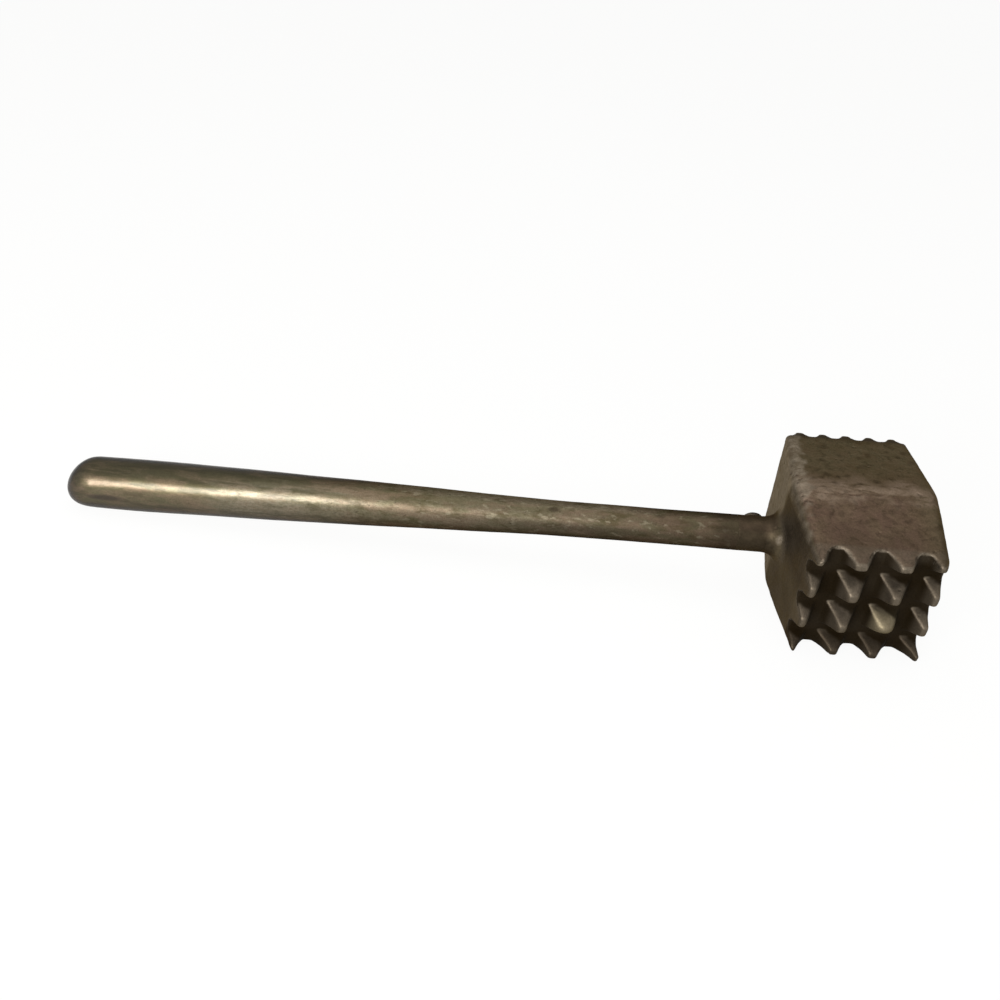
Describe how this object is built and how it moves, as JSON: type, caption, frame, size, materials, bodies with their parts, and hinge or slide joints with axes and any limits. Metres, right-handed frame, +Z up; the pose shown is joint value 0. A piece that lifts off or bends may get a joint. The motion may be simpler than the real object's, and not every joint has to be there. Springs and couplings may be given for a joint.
{
  "type": "meat tenderizer",
  "caption": "Solid cast-aluminium meat hammer lying on its side: square block head with a coarse toothed face and a fine ribbed face, on a long round handle with a domed grip.",
  "frame": {"origin": "centre of the bottom of the tool's box as it lies on its side, on the surface it lies on", "axes": "+X along the tool from the grip to the head, +Z up, -Y the way the coarse toothed face looks"},
  "size_m": [0.334, 0.08, 0.0565],
  "materials": {
    "head_metal": "sand-cast, dull, tarnished brown-grey",
    "handle_metal": "satin, polished by the hand, tarnished",
    "pin_metal": "dull, tarnished"
  },
  "bodies": {
    "root": {"head_casting": "head_metal", "handle_bar": "handle_metal", "cross_pin": "pin_metal"}
  },
  "joints": []
}
